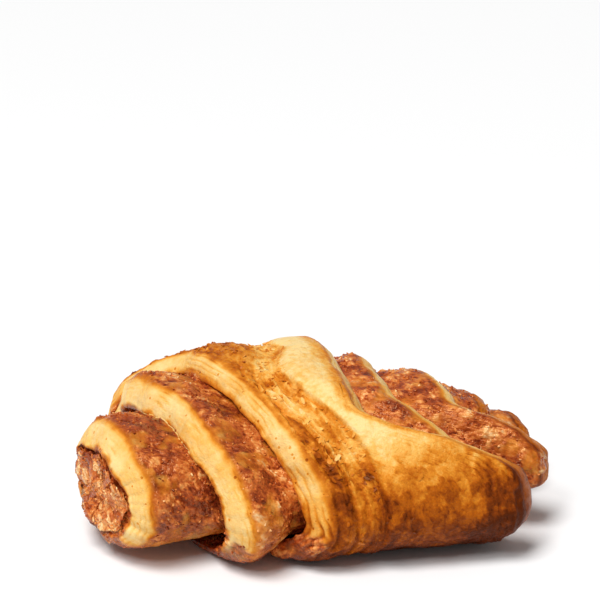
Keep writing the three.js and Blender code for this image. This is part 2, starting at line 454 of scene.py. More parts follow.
def cutSkin(p, name, layer):
    # the crowned, layered face of a cut edge: its height and browning
    z = p[:, 2]
    isWrap = name == "wrap"
    onRight = p[:, 0] > 10
    humps = enumerate(edge["unevenness"])
    uneven = sum(height * noiseAt(p, size, 10 + k) for k, (size, height) in humps)
    apart = smooth(24, 14, z) * smooth(4, 9, z) * (p[:, 1] < 0) * ~onRight if isWrap else 0 * z
    lines = layer * dough["sheets"] + 0.7 * noiseAt(p, 11, 7) + 0.25 * noiseAt(p, 3.5, 8)
    lines = lines + apart * (0.8 * noiseAt(p, 7, 24) + 0.3 * noiseAt(p, 2.5, 25))
    fine = fineLines(lines, mix(0.13, 0.2, apart))
    shown = np.maximum(smooth(-0.3, 0.6, noiseAt(p, 6, 9)), apart * (0.5 + 0.8 * noiseAt(p, 4, 23)))
    shown = shown * smooth(0, 0.15, layer) * smooth(1, 0.85, layer)
    crease = fine * shown
    height = edge["crown"] * np.sin(math.pi * layer) + uneven
    height = height - mix(edge["lineDepth"], edge["sheetDepth"], apart) * crease

    ragged = 0.09 * noiseAt(p, 3, 18) + 0.05 * noiseAt(p, 1.4, 19)
    toasted = smooth(0.27, -0.02, layer + 0.5 * ragged)
    toasted = toasted + smooth(0.6 if isWrap else 0.8, 1.0, layer + ragged)
    across = layer * edge["streaks"] + 1.3 * noiseAt(p, 9, 27) + 0.5 * noiseAt(p, 2.6, 28)
    streak = 0.5 * np.sin(2 * math.pi * across)
    streak = streak * smooth(-0.5, 0.6, noiseAt(p, 5, 29))
    bake = edgeBake["least"] + edgeBake["lips"] * toasted + mix(*edgeBake["lines"], apart) * crease
    bake = bake + edgeBake["cloud"] * layeredNoise(p, 9, 17) + edgeBake["streaks"] * streak
    bake = bake + edgeBake["outerHalf"] * smooth(0.75, 0.3, layer + ragged)
    bake = bake + edgeBake["apart"] * apart + edgeBake["under"] * smooth(11, 2, z)
    if isWrap:
        even, low = edgeBake["wrapRight"]
        right = even + low * smooth(32, 22, z)
        return height, bake + np.where(onRight, right, edgeBake["wrapLeft"][0])
    even, low = edgeBake.get(name, (0, 0))
    return height, bake + even + low * smooth(33, 26, z)


wrapSkin = {
    "radius": 34.0,  # mean radius of the roll
    "smoothBack": 0.35,  # roughness at the back, as a share of that at the front
    "wrinkle": (1.9, 15.0, 0.75),  # a wrinkle's width across the roll, its length round it, its height
    "flake": (2.6, 0.45),  # size and height of lifted crust
    "blister": (2.5, 0.38),
    "line": (2.6, 0.3),  # spacing and depth of the lines along the right rim
    "flap": (8.0, 42.5, 27.0),  # a scrap of crust stands up here: right, front and height
    "flapSize": (1.1, 3.5, 3.6),  # its half widths the same way
    "flapHeight": 1.5,
}
wrapBake = {
    # browning of the crest, then how much more is added from one height down to another
    "lobe": (0.02, (0.38, 37, 28), (0.26, 29, 19), (0.26, 19, 3)),  # right of the groove
    "band": (0.24, (0.2, 34, 24), (0.2, 22, 10)),  # the floor of the groove
    "heap": (0.43, (0.24, 34, 22), (0.14, 14, 4)),  # left of the fold
    "bandEdge": 0.04,
    "heapBack": 0.12,
    "rightRim": 0.3,
    "cloud": 0.1,
    "blister": 0.2,
    # painted shade: darker in the borders between blisters
    "blisterBorder": 0.08,
    "flake": 0.2,
    # painted light and shade: the crests of the wrinkles paler, their troughs darker
    "wrinkle": 0.2,
    "endWrinkle": 0.14,
    # painted shade: darker in the fold and in the cracks between flakes
    "crackShade": 0.22,
    "flap": 0.35,
    # painted shade: darker along the crease beside the strip
    "seamShade": 0.16,
    "line": 0.14,
}


def bakedDown(plan, z):
    # browning that grows on the way down
    bake, *steps = plan
    for more, start, end in steps:
        bake = bake + more * smooth(start, end, z)
    return bake


def outerSkin(p, gaps, turn):
    # the baked outside of the roll: its height, its browning with painted shade in its fold, cracks,
    # crease, wrinkles and blister borders, and where it flakes
    x, y, z = p.T
    leftGap, rightGap = gaps
    d = x - grooveEdge(-y)
    fore = smooth(8, 20, -y)
    front = smooth(10, -6, y)
    sharp = groove["step"] * mix(0.35, 1, smooth(-4, 16, -y)) * smooth(3, 12, z)
    step = sharp * smooth(-0.6, 0.6, d) * smooth(60, 46, -y)
    hollow = sharp * smooth(-7, -1, d) * smooth(0.6, -0.6, d)
    # a dark line painted along the crease beside the strip: painted shadow
    seamShade = ridge(d + 0.5, groove["seamShade"]) * fore * smooth(3, 10, z)
    fold = ridge(d + groove["fold"], groove["foldWidth"]) * fore
    mound = smooth(-groove["fold"] + 0.4, -groove["fold"] - 1.6, d) * smooth(0, 2.5, leftGap) * fore
    height = 0.5 * step - 0.5 * hollow - groove["foldDepth"] * fold + groove["mound"] * mound

    # wrinkles run round the roll, and across its right end
    rough = smooth(1.5, -1, d) * mix(0.2, 1, smooth(16, 30, z))
    rough = np.clip(rough + 0.4 * smooth(14, 5, d) * smooth(30, 20, z), 0, 1)
    exposed = np.maximum(smooth(4, -6, y), smooth(22, 36, z))
    rough = rough * mix(wrapSkin["smoothBack"], 1, exposed)
    across, along, tall = wrapSkin["wrinkle"]
    wander = 0.6 * np.stack([noiseAt(p, 7, 30), noiseAt(p, 7, 31), 0 * x], -1)
    folded = np.stack([d / across, turn / along, 0 * x], -1) + wander
    wrinkle = 1 - 1.7 * np.abs(noiseAt(folded, 1, 35))
    wrinkle = wrinkle + 0.5 * (1 - 1.7 * np.abs(noiseAt(folded, 0.5, 36)))
    wrinkle = wrinkle - 0.8
    atEnd = smooth(13, 3, rightGap) * smooth(36, 26, z)
    wrinkled = np.clip(rough + 0.8 * atEnd, 0, 1)
    height = height + tall * wrinkle * wrinkled * mix(0.4, 1, front)

    # flakes lift on the rough crust, and small blisters on the smooth crust
    bent = p + 1.1 * np.stack([noiseAt(p, 3.5, k) for k in (32, 33, 34)], -1)
    size, tall = wrapSkin["flake"]
    _, flakeBorder, flakeOwn = cellsAt(bent, size, 13)
    lifted = tall * (flakeOwn - 0.5) * smooth(0.0, 0.12, flakeBorder)
    height = height + rough * lifted
    size, tall = wrapSkin["blister"]
    _, blisterBorder, blisterOwn = cellsAt(bent, size, 15)
    blistered = (1 - rough) * mix(0.25, 1, smooth(37, 28, z))
    swollen = (blisterOwn - 0.35) * smooth(0.0, 0.16, blisterBorder)
    height = height + blistered * tall * swollen + 0.13 * noiseAt(p, 2.2, 14)

    right, ahead, up = wrapSkin["flap"]
    wide, deep, high = wrapSkin["flapSize"]
    beyond = -y - ahead
    near = ((x - right - 0.35 * beyond) / wide) ** 2 + (beyond / deep) ** 2 + ((z - up) / high) ** 2
    flap = np.exp(-near)
    height = height + wrapSkin["flapHeight"] * flap

    spacing, lineDepth = wrapSkin["line"]
    lines = fineLines(rightGap / spacing + 0.6 * noiseAt(p, 8, 44), 0.14)
    lines = lines * smooth(14, 6, rightGap) * smooth(6, 14, z) * smooth(38, 32, z) * fore
    lines = lines * smooth(-0.5, 0.4, noiseAt(p, 6, 45))
    height = height - lineDepth * lines

    # the fold and the cracks between the flakes are painted darker, as shade
    split = rough * smooth(0.1, 0.0, flakeBorder) * smooth(0, 0.5, noiseAt(p, 5, 37))
    crackShade = np.clip(0.4 * fold + split, 0, 1)
    lip = smooth(4, 0.5, rightGap + 1.2 * noiseAt(p, 4, 39)) * smooth(30, 38, z)
    lobe = bakedDown(wrapBake["lobe"], z) + wrapBake["rightRim"] * atEnd * smooth(32, 18, z)
    lobe = lobe + wrapBake["rightRim"] * lip
    band = bakedDown(wrapBake["band"], z) + wrapBake["bandEdge"] * smooth(-5, -1, d)
    heap = bakedDown(wrapBake["heap"], z) + wrapBake["heapBack"] * smooth(5, 15, y)
    bake = mix(heap, band, smooth(-groove["fold"] - 1, -groove["fold"] + 1, d))
    bake = mix(bake, lobe, smooth(-0.7, 0.9, d + 1.3 * noiseAt(p, 4, 38)))
    bake = bake + wrapBake["cloud"] * layeredNoise(p, 8, 12)
    bake = bake + wrapBake["blister"] * blistered * (blisterOwn - 0.5)
    # darker in the borders between blisters: painted shade
    bake = bake + wrapBake["blisterBorder"] * blistered * smooth(0.12, 0.0, blisterBorder)
    bake = bake + rough * wrapBake["flake"] * (flakeOwn - 0.5)
    # paler on the crests of the wrinkles and darker in their troughs: painted light and shade
    bake = bake - rough * wrapBake["wrinkle"] * wrinkle * mix(0.5, 1, front)
    bake = bake - wrapBake["endWrinkle"] * atEnd * wrinkle
    # the cracks and the seam are painted shade; the flap and the lines are browner crust
    for key, shown in (("crackShade", crackShade), ("flap", flap), ("seamShade", seamShade), ("line", lines)):
        bake = bake + wrapBake[key] * shown
    return height, bake, rough


def finishShell(name, rows, marks, place, wrapped=None):
    # roughens a shell as its surfaces ask, and gives it the attributes its materials read
    p, flat, quads, fans, triangles = shellMesh(rows, marks)
    normals = vertexNormals(p, triangles)
    cut, layer, inner, filling = (flat[k] for k in ("cut", "layer", "inner", "filling"))
    z = p[:, 2]
    outside = (1 - cut) * (1 - inner)
    side = 0 if name.startswith("left") else 1
    relief = 0.6 * noiseAt(p, 17, 1) + 0.3 * noiseAt(p, 7.5, 2)
    cutHeight, cutBake = cutSkin(p, name, layer)
    relief = relief + cut * cutHeight

    if wrapped is not None:
        height, bake, rough = outerSkin(p, wrapped[:2], wrapped[2])
        relief = relief + outside * height
        cinnamon = 0 * z
    else:
        # cinnamon sugar covers what lay inside the roll, a little unevenly
        if name == "rightTip":
            bare = smooth(-0.2, 0.8, noiseAt(p, 6, 21))
        else:
            bare = smooth(14, 5, z) * smooth(-0.7, 0.3, noiseAt(p, 8, 21))
            patches = smooth(0.15, 0.55, layeredNoise(p, 5.5, 40))
            bare = np.maximum(bare, sugar["barePatch"] * patches)
        bake, rough = 0.5 + 0.2 * layeredNoise(p, 4, 12), 0 * z
        cinnamon = outside * mix(1, sugar["thinnest"], bare)
        if name in ("rightMiddle", "rightCore"):
            smeared = sugar["onEdge"] * cut * smooth(-0.2, 0.4, noiseAt(p, 3, 22))
            cinnamon = np.maximum(cinnamon, smeared * smooth(33, 26, z))
    burnt = sugar["burnt"] * cut * smooth(11, 7, z + 4 * noiseAt(p, 5, 26)) * (p[:, 0] < 5)
    sweetLip = sugar["onEdge"] * cut * smooth(0.84, 1.0, layer + 0.09 * noiseAt(p, 2.5, 43))
    cinnamon = np.clip(np.maximum.reduce([cinnamon, inner, filling, burnt, sweetLip]), 0, 1)
    sticky = cinnamon > sugar["least"]
    height, tone = np.zeros(len(p)), np.full(len(p), 0.5)
    height[sticky], tone[sticky] = sugarSkin(p[sticky], 3, sugar["runny"][side])
    relief = relief + cinnamon * height + filling * sugar["filling"] * (1 + 0.7 * noiseAt(p, 4, 5))
    # the filling lighter and burnt dough darker by their own colour; the inner walls of the gaps
    # painted darker, as shade
    tone = tone + 0.2 * filling - 0.12 * inner - 0.2 * burnt + sugar["sideTone"][side]

    # darker and smoother where it lies on the tray
    bake = np.clip(mix(bake, cutBake, cut) + 0.25 * smooth(5, 0, z), 0, 1)
    relief = relief * mix(1, 0.35, smooth(2.5, 0, z))
    # bake holds browning and some painted shade; tone holds the sugar's own colour and painted shade
    # between lumps and in the gaps
    attributes = {
        "cut": cut, "cinnamon": cinnamon, "bake": bake, "tone": np.clip(tone, 0, 1),
        "flaky": outside * rough,
    }
    faces = [tuple(f) for f in quads.tolist()] + [tuple(f) for f in fans.tolist()]
    return meshObject(name, p + normals * relief[:, None] + place, faces, attributes)


def innerTurn(turn, place):
    angle = anglesOf(turn["rim"], cells["side"])
    filled = turn["filled"]
    depthIn = dough["fillingDepth"] if filled else dough["edgeSlant"] + dough["gapDepth"]
    rim, rimMarks, wave = rimRows(turn, angle, depthIn)
    body = bodyRows(turn, angle, wave)
    parts = [(body, emptyMarks(body)), (rim, rimMarks)]
    if filled:
        halfWidth = turn["rim"][2]
        cap = capRows(rim[-1], round(halfWidth / cells["filling"]))
        parts.append((cap, emptyMarks(cap)))
    rows, marks = stacked(parts)
    marks["filling"] = np.zeros(rows.shape[:2])
    if filled:
        marks["filling"][-len(cap) - 2:] = 1
        marks["inner"][-len(cap) - 2:] = 0
    return finishShell(turn["name"], rows, marks, place)


def lipRow(turn, angle, wave):
    # the row just behind a rim's outer lip
    reach = reachAt(turn, angle) + wave - dough["lipBack"]
    return fanPoint(turn["side"], turn["rim"], angle, reach, 0)


def outerWrap(place):
    angle = anglesOf(wrapLeft["rim"], cells["wrap"])
    depthIn = dough["edgeSlant"] + dough["gapDepth"]
    left, leftMarks, leftWave = rimRows(wrapLeft, angle, depthIn)
    right, rightMarks, rightWave = rimRows(wrapRight, angle, depthIn)
    start = lipRow(wrapLeft, angle, leftWave)
    end = lipRow(wrapRight, angle, rightWave)
    length = np.linalg.norm(end - start, axis=1)
    steps = round(length.max() / (1.1 * cells["wrap"]))
    share = (np.arange(1, steps) / steps)[:, None]
    over = mix(start, end, share[..., None])
    fromMiddle = over[..., 0] - grooveEdge(-over[..., 1]) - groove["middle"]
    above = smooth(groove["fadesBelow"], 1, np.sin(angle))
    pressed = groove["depth"] * ridge(fromMiddle, groove["halfWidth"])
    swell = above * (dough["bulge"] * np.sin(math.pi * share) - pressed)
    outwards = np.stack([0 * angle, -np.cos(angle), np.sin(angle)], axis=-1)
    over = over + outwards * swell[..., None]
    rows, marks = stacked([
        (left[::-1], {k: m[::-1] for k, m in leftMarks.items()}),
        (over, emptyMarks(over)),
        (right, rightMarks),
    ])
    marks["filling"] = np.zeros(rows.shape[:2])
    first, last = len(left), len(left) + len(over)
    leftGap, rightGap = np.zeros((2, *rows.shape[:2]))
    leftGap[first:last], rightGap[first:last] = share * length, (1 - share) * length
    leftGap[last:], rightGap[:first] = length, length
    fromFront = np.minimum(angle, 2 * math.pi - angle)
    turn = np.broadcast_to(fromFront * wrapSkin["radius"], rows.shape[:2])
    wrapped = [withEnds(m) for m in (leftGap, rightGap, turn)]
    return finishShell("wrap", rows, marks, place, wrapped)


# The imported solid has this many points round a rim, and rows at these shares of the slant,
# each set in this far from the outside.
packedSolid = {"around": 44, "rows": ((0, 1.6), (0.65, 4), (1, 7))}


def plainBox():
    # low and high corner of the smooth turns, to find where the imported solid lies
    low, high = np.full(3, 1e9), np.full(3, -1e9)
    angle = np.arange(packedSolid["around"]) / packedSolid["around"] * 2 * math.pi
    for turn in [*leftTurns, *rightTurns, wrapLeft, wrapRight]:
        for share, inset in packedSolid["rows"]:
            reach = reachAt(turn, angle) + dough["edgeSlant"] * share
            p = fanPoint(turn["side"], turn["rim"], angle, reach, inset)
            low, high = np.minimum(low, p.min(0)), np.maximum(high, p.max(0))
    return low, high


low, high = plainBox()
cadMiddle = np.array((cadLow + cadHigh) / 2) / mm
place = cadMiddle - (low + high) / 2
place[2] = 0
print("pastry: junction at", place.round(2), "mm")


def underBlock(depth=30, reach=150):
    # what lies below the surface that the pastry lies on
    corners = [[x, y, z] for z in (-depth, 0) for y in (-reach, reach) for x in (-reach, reach)]
    faces = [(0, 2, 3, 1), (4, 5, 7, 6), (0, 1, 5, 4), (2, 6, 7, 3), (0, 4, 6, 2), (1, 3, 7, 5)]
    return meshObject("under", np.array(corners, float), faces, {})


def joined(first, others):
    # one closed body, cut flat at the surface that it lies on
    block = underBlock()
    for other, operation in [(o, "UNION") for o in others] + [(block, "DIFFERENCE")]:
        cutter = first.modifiers.new(operation, "BOOLEAN")
        cutter.operation = operation
        cutter.object = other
        cutter.solver = "MANIFOLD"
    graph = bpy.context.evaluated_depsgraph_get()
    mesh = bpy.data.meshes.new_from_object(first.evaluated_get(graph))
    for used in [first, block, *others]:
        old = used.data
        bpy.data.objects.remove(used)
        bpy.data.meshes.remove(old)
    return mesh


def finishedPiece(name, mesh):
    mesh.name = name
    made = linked(name, mesh)
    mesh.calc_loop_triangles()
    print("pastry:", name, "of", len(mesh.loop_triangles), "triangles")
    return made


def dressed(name, shells):
    # a finished piece of one or more shells
    return finishedPiece(name, joined(shells[0], shells[1:]))


leftFan = dressed("pastry_left_turns", [innerTurn(t, place) for t in leftTurns])
rightFan = dressed("pastry_right_turns", [innerTurn(t, place) for t in rightTurns])
wrap = dressed("pastry_outer_wrap", [outerWrap(place)])
doughPieces = [leftFan, rightFan, wrap]


def addNode(tree, kind, inputs=None, **settings):
    node = tree.nodes.new(kind)
    for name, value in settings.items():
        setattr(node, name, value)
    for key, value in (inputs or {}).items():
        if isinstance(value, bpy.types.NodeSocket):
            tree.links.new(value, node.inputs[key])
        else:
            node.inputs[key].default_value = value
    return node


def calc(tree, operation, *values, clamp=False):
    node = addNode(tree, "ShaderNodeMath", dict(enumerate(values)), operation=operation)
    node.use_clamp = clamp
    return node.outputs[0]


def weighted(tree, *pairs, clamp=False):
    # the sum of values, each times its weight
    total = 0.0
    for value, weight in pairs:
        total = calc(tree, "MULTIPLY_ADD", value, weight, total)
    total.node.use_clamp = clamp
    return total


def noiseNode(tree, vector, scale, detail=3.0, roughness=0.6):
    # noise about nought, from about -0.5 to 0.5
    inputs = {"Vector": vector, "Scale": scale, "Detail": detail, "Roughness": roughness}
    made = addNode(tree, "ShaderNodeTexNoise", inputs)
    return calc(tree, "SUBTRACT", made.outputs[0], 0.5)


def ramp(tree, factor, stops):
    node = addNode(tree, "ShaderNodeValToRGB", {0: factor})
    while len(node.color_ramp.elements) < len(stops):
        node.color_ramp.elements.new(0.5)
    for element, (position, colour) in zip(node.color_ramp.elements, stops):
        element.position = position
        element.color = (*colour, 1)
    return node.outputs[0]


def shaderGroup(name, inputs, outputs):
    tree = bpy.data.node_groups.new(name, "ShaderNodeTree")
    kinds = {"Vector": "NodeSocketVector", "Color": "NodeSocketColor"}
    for way, sockets in (("INPUT", inputs), ("OUTPUT", outputs)):
        for socket in sockets:
            kind = kinds.get(socket, "NodeSocketFloat")
            tree.interface.new_socket(socket, in_out=way, socket_type=kind)
    return tree, addNode(tree, "NodeGroupInput").outputs, addNode(tree, "NodeGroupOutput").inputs


surfaceOutputs = ["Color", "Roughness", "Height"]
crustLook = {
    "colours": [  # from pale dough to dark crust
        (0.0, (0.92, 0.665, 0.28)), (0.2, (0.86, 0.46, 0.10)), (0.4, (0.72, 0.25, 0.020)),
        (0.6, (0.47, 0.11, 0.004)), (0.8, (0.23, 0.040, 0.002)), (1.0, (0.09, 0.013, 0.001)),
    ],
    "mottles": ((170, 0.3), (700, 0.55)),  # patches in each metre and their strength
    "grains": 2600,  # in each metre
    "specks": 420,  # in each metre
    "speckReach": 0.17,
    "speckRarity": 0.72,  # the share of specks that are left out
    "speckDark": 0.5,
    "roughness": 0.39,
    "roughnessChange": 0.5,
    "height": (0.8, 0.35),  # of the fine mottles and the grains
}
sugarLook = {
    "colours": [  # from burnt cinnamon to golden sugar
        (0.0, (0.16, 0.019, 0.005)), (0.3, (0.37, 0.062, 0.012)), (0.55, (0.60, 0.150, 0.028)),
        (0.8, (0.80, 0.33, 0.090)), (1.0, (0.94, 0.62, 0.30)),
    ],
    "mottles": ((300, 0.6), (1100, 0.36)),
    "grains": 900,
    "grainTone": 0.13,
    "roughness": 0.19,
    "roughnessChange": 0.6,
    "height": (0.5, 0.7),  # of the grains and the fine mottles
}
doughFinish = {
    "cutMottle": -0.55,  # a cut edge is less mottled than crust
    "scrapMottle": 0.6,
    "specular": (0.15, 0.42),  # of crust, and how much more where there is sugar
    "evenSpecular": 0.2,  # for a viewer that takes one value
    "scrapSpecular": 0.3,
    "specularTint": (1.0, 0.68, 0.36, 1.0),
    "bump": {"Strength": 0.8, "Distance": 0.0007},
    "subsurface": {"Weight": 0.06, "Radius": (1.0, 0.45, 0.15), "Scale": 0.0012},
}


def crustGroup():
    tree, inside, out = shaderGroup("bakedCrust", ["Vector", "Bake", "Mottle"], surfaceOutputs)
    at = inside["Vector"]
    (broadScale, broadShare), (fineScale, fineShare) = crustLook["mottles"]
    broad = noiseNode(tree, at, broadScale, 4.0)
    fine = noiseNode(tree, at, fineScale, 4.0, 0.65)
    grain = noiseNode(tree, at, crustLook["grains"], 2.0)
    mottled = weighted(tree, (broad, broadShare), (fine, fineShare))
    mottled = calc(tree, "MULTIPLY", mottled, inside["Mottle"])
    speck = addNode(tree, "ShaderNodeTexVoronoi", {"Vector": at, "Scale": crustLook["specks"]})
    odd = addNode(tree, "ShaderNodeSeparateColor", {0: speck.outputs["Color"]}).outputs[0]
    ragged = calc(tree, "ADD", speck.outputs["Distance"], calc(tree, "MULTIPLY", fine, 0.25))
    close = calc(tree, "LESS_THAN", ragged, crustLook["speckReach"])
    chosen = calc(tree, "GREATER_THAN", odd, crustLook["speckRarity"])
    speckled = calc(tree, "MULTIPLY", close, chosen)
    speckled = calc(tree, "MULTIPLY", speckled, calc(tree, "SUBTRACT", 1.0, inside["Mottle"]))
    shares = [(inside["Bake"], 1.0), (mottled, 1.0), (speckled, crustLook["speckDark"])]
    bake = weighted(tree, *shares, clamp=True)
    shine = calc(tree, "MULTIPLY_ADD", fine, crustLook["roughnessChange"], crustLook["roughness"])
    fineHeight, grainHeight = crustLook["height"]
    tree.links.new(ramp(tree, bake, crustLook["colours"]), out["Color"])
    tree.links.new(shine, out["Roughness"])
    tree.links.new(weighted(tree, (fine, fineHeight), (grain, grainHeight)), out["Height"])
    return tree


def sugarGroup():
    tree, inside, out = shaderGroup("cinnamonSugar", ["Vector", "Tone"], surfaceOutputs)
    at = inside["Vector"]
    (broadScale, broadShare), (fineScale, fineShare) = sugarLook["mottles"]
    broad = noiseNode(tree, at, broadScale, 4.0, 0.65)
    fine = noiseNode(tree, at, fineScale, 3.0)
    grains = addNode(tree, "ShaderNodeTexVoronoi", {"Vector": at, "Scale": sugarLook["grains"]})
    own = addNode(tree, "ShaderNodeSeparateColor", {0: grains.outputs["Color"]}).outputs[0]
    own = calc(tree, "SUBTRACT", own, 0.5)
    shares = [(inside["Tone"], 1.0), (broad, broadShare), (fine, fineShare)]
    tone = weighted(tree, *shares, (own, sugarLook["grainTone"]), clamp=True)
    shine = calc(tree, "MULTIPLY_ADD", broad, sugarLook["roughnessChange"], sugarLook["roughness"])
    dome = calc(tree, "SUBTRACT", 1.0, grains.outputs["Distance"])
    domeHeight, fineHeight = sugarLook["height"]
    tree.links.new(ramp(tree, tone, sugarLook["colours"]), out["Color"])
    tree.links.new(shine, out["Roughness"])
    tree.links.new(weighted(tree, (dome, domeHeight), (fine, fineHeight)), out["Height"])
    return tree


def markOf(tree, name):
    node = addNode(tree, "ShaderNodeAttribute", attribute_name=name, attribute_type="GEOMETRY")
    return node.outputs["Fac"]


def newMaterial(name, specular):
    material = bpy.data.materials.new(name)
    material.use_nodes = True
    tree = material.node_tree
    shader = tree.nodes["Principled BSDF"]
    shader.inputs["Specular IOR Level"].default_value = specular
    shader.inputs["Specular Tint"].default_value = doughFinish["specularTint"]
    return material, tree, shader, addNode(tree, "ShaderNodeTexCoord").outputs["Object"]


def doughMaterial():
    # crust and cut dough, with cinnamon sugar where it lay
    material, tree, shader, at = newMaterial("baked dough", doughFinish["evenSpecular"])
    cut, bake, cinnamon, tone = (markOf(tree, k) for k in ("cut", "bake", "cinnamon", "tone"))
    mottle = calc(tree, "MULTIPLY_ADD", cut, doughFinish["cutMottle"], 1.0)
    crustInputs = {"Vector": at, "Bake": bake, "Mottle": mottle}
    crust = addNode(tree, "ShaderNodeGroup", crustInputs, node_tree=bakedCrust)
    sugary = addNode(tree, "ShaderNodeGroup", {"Vector": at, "Tone": tone}, node_tree=cinnamonSugar)
    # a mix node has other sockets for colours than for numbers: first, second and result
    numbers, colours = ("FLOAT", 2, 3, 0), ("RGBA", 6, 7, 2)
    mixed = {}
    for key, (kind, first, second, result) in zip(surfaceOutputs, (colours, numbers, numbers)):
        inputs = {0: cinnamon, first: crust.outputs[key], second: sugary.outputs[key]}
        mixed[key] = addNode(tree, "ShaderNodeMix", inputs, data_type=kind).outputs[result]
    bumped = {"Height": mixed["Height"], **doughFinish["bump"]}
    bump = addNode(tree, "ShaderNodeBump", bumped)
    plain, sugared = doughFinish["specular"]
    gloss = calc(tree, "MULTIPLY_ADD", cinnamon, sugared, plain)
    tree.links.new(mixed["Color"], shader.inputs["Base Color"])
    tree.links.new(mixed["Roughness"], shader.inputs["Roughness"])
    tree.links.new(bump.outputs[0], shader.inputs["Normal"])
    tree.links.new(gloss, shader.inputs["Specular IOR Level"])
    for key, value in doughFinish["subsurface"].items():
        shader.inputs["Subsurface " + key].default_value = value
    return material


def scrapMaterial(name, group, key):
    # for crumbs and flakes, which take their shade from the surface that they lie on
    material, tree, shader, at = newMaterial(name, doughFinish["scrapSpecular"])
    inputs = {"Vector": at, key: markOf(tree, "shade")}
    look = addNode(tree, "ShaderNodeGroup", inputs, node_tree=group)
    if "Mottle" in look.inputs:
        look.inputs["Mottle"].default_value = doughFinish["scrapMottle"]
    for socket, target in (("Color", "Base Color"), ("Roughness", "Roughness")):
        tree.links.new(look.outputs[socket], shader.inputs[target])
    return material


bakedCrust, cinnamonSugar = crustGroup(), sugarGroup()
doughLook = doughMaterial()
for piece in doughPieces:
    piece.data.materials.clear()
    piece.data.materials.append(doughLook)
print("pastry: materials made")


def grain(tree):
    ball = {"Radius": 1.0, "Subdivisions": 1}
    return addNode(tree, "GeometryNodeMeshIcoSphere", ball).outputs["Mesh"]


def flake(tree):
    plate = {"Vertices": 7, "Radius": 1.0, "Depth": 1.0}
    return addNode(tree, "GeometryNodeMeshCylinder", plate, fill_type="NGON").outputs["Mesh"]


scatter = {
    "inputs": {
        "Geometry": "Geometry", "Density": "Float", "Roughening": "Float", "Smallest": "Vector",
        "Largest": "Vector", "Tilt": "Vector",
    },
    "lowest": 0.0025,  # nothing lies nearer to the floor, in metres
    "facing": -0.4,  # or on a face that looks down more than this
    "keenness": 2.0,  # how sharply the shapes keep to where the mark is high
    "lumps": 900,  # in each metre, for the uneven shape of each scrap
}


def scatterTree(plan):
    # strews small shapes over a surface where its mark is high, none of them underneath
    tree = bpy.data.node_groups.new(plan["tree"], "GeometryNodeTree")
    for key, kind in scatter["inputs"].items():
        tree.interface.new_socket(key, in_out="INPUT", socket_type="NodeSocket" + kind)
    tree.interface.new_socket("Geometry", in_out="OUTPUT", socket_type="NodeSocketGeometry")
    given = addNode(tree, "NodeGroupInput").outputs
    seed = plan["seed"]

    def made(kind, inputs=None, **settings):
        return addNode(tree, kind, inputs, **settings).outputs

    def named(name):
        return made("GeometryNodeInputNamedAttribute", {"Name": name}, data_type="FLOAT")[0]

    def randomVector(low, high, offset):
        inputs = {0: low, 1: high, "Seed": seed + offset}
        return made("FunctionNodeRandomValue", inputs, data_type="FLOAT_VECTOR")[0]

    where = made("GeometryNodeInputPosition")[0]
    height = made("ShaderNodeSeparateXYZ", {0: where})[2]
    facing = made("ShaderNodeSeparateXYZ", {0: made("GeometryNodeInputNormal")[0]})[2]
    lifted = calc(tree, "GREATER_THAN", height, scatter["lowest"])
    exposed = calc(tree, "MULTIPLY", lifted, calc(tree, "GREATER_THAN", facing, scatter["facing"]))
    marked = calc(tree, "POWER", named(plan["mark"]), scatter["keenness"])
    density = calc(tree, "MULTIPLY", given["Density"], marked)
    density = calc(tree, "MULTIPLY", density, exposed)
    surface = {"Mesh": given["Geometry"], "Density": density, "Seed": seed}
    points = made("GeometryNodeDistributePointsOnFaces", surface)

    flipped = {0: given["Tilt"], 1: (-1, -1, 0)}
    back = made("ShaderNodeVectorMath", flipped, operation="MULTIPLY")[0]
    spin = made("FunctionNodeEulerToRotation", {0: randomVector(back, given["Tilt"], 1)})[0]
    turning = {0: points["Rotation"], 1: spin}
    turned = made("FunctionNodeRotateRotation", turning, rotation_space="LOCAL")[0]
    placed = made("GeometryNodeInstanceOnPoints", {
        "Points": points["Points"], "Instance": plan["shape"](tree), "Rotation": turned,
        "Scale": randomVector(given["Smallest"], given["Largest"], 2),
    })[0]

    odd = made("FunctionNodeRandomValue", {"Seed": seed + 3}, data_type="FLOAT")[1]
    low, high = plan["shadeShift"]
    shift = calc(tree, "MULTIPLY_ADD", odd, high - low, low)
    shade = calc(tree, "ADD", named(plan["shade"]), shift)
    shaded = {"Geometry": placed, "Name": "shade", "Value": shade}
    store = "GeometryNodeStoreNamedAttribute"
    stored = made(store, shaded, domain="INSTANCE", data_type="FLOAT")[0]
    real = made("GeometryNodeRealizeInstances", {0: stored})[0]

    lumps = {"Vector": where, "Scale": scatter["lumps"], "Detail": 1}
    cloud = made("ShaderNodeTexNoise", lumps)["Color"]
    centring = {0: cloud, 1: (0.5, 0.5, 0.5)}
    centred = made("ShaderNodeVectorMath", centring, operation="SUBTRACT")[0]
    moving = {0: centred, "Scale": given["Roughening"]}
    offset = made("ShaderNodeVectorMath", moving, operation="SCALE")[0]
    moved = made("GeometryNodeSetPosition", {"Geometry": real, "Offset": offset})[0]
    finish = {"Geometry": moved, "Material": plan["material"]}
    finished = made("GeometryNodeSetMaterial", finish)[0]
    addNode(tree, "NodeGroupOutput", {"Geometry": finished})
    return tree


def strewn(name, surface, tree, sizes):
    # the scattered shapes as a plain mesh of their own
    carrier = linked(name + " carrier", surface.data)
    modifier = carrier.modifiers.new("strew", "NODES")
    modifier.node_group = tree
    for item in tree.interface.items_tree:
        if item.in_out == "INPUT" and item.name in sizes:
            modifier[item.identifier] = sizes[item.name]
    graph = bpy.context.evaluated_depsgraph_get()
    mesh = bpy.data.meshes.new_from_object(carrier.evaluated_get(graph))
    bpy.data.objects.remove(carrier)
    return finishedPiece(name, mesh)


